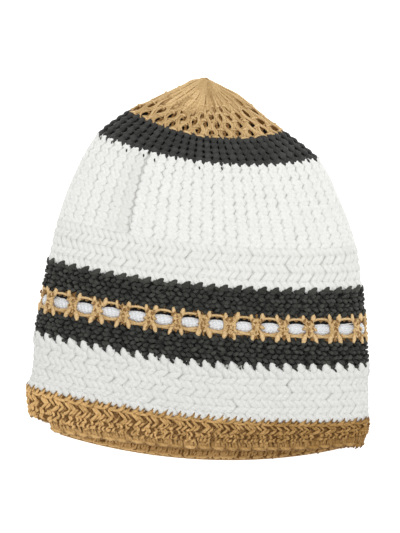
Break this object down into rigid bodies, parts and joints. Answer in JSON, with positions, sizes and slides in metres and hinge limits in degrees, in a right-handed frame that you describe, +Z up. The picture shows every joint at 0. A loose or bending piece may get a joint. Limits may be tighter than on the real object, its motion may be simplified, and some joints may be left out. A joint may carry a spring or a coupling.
{
  "type": "crocheted cap",
  "caption": "Soft crocheted cap lying flat: drawn-in open-net peak, charcoal, white and tan bands, an eyelet stripe with white yarn behind its windows, and a tan rim.",
  "frame": {"origin": "on the surface that the cap lies on, at the middle of its outline", "axes": "+X across the cap to the right of the picture, +Y from the open rim to the peak, +Z up out of the top layer"},
  "size_m": [0.2334, 0.2596, 0.0431],
  "materials": {
    "tan_yarn": "matt crocheted yarn",
    "charcoal_yarn": "matt crocheted yarn",
    "white_yarn": "matt crocheted yarn"
  },
  "bodies": {
    "root": {"crown_gather": "tan_yarn", "crown_net": "tan_yarn", "crown_band": "charcoal_yarn", "body_band": "white_yarn", "upper_stripe": "charcoal_yarn", "eyelet_stripe": "tan_yarn", "lacing_yarn": "white_yarn", "lower_stripe": "charcoal_yarn", "lower_band": "white_yarn", "rim_band": "tan_yarn", "rim_edging": "tan_yarn"}
  },
  "joints": []
}
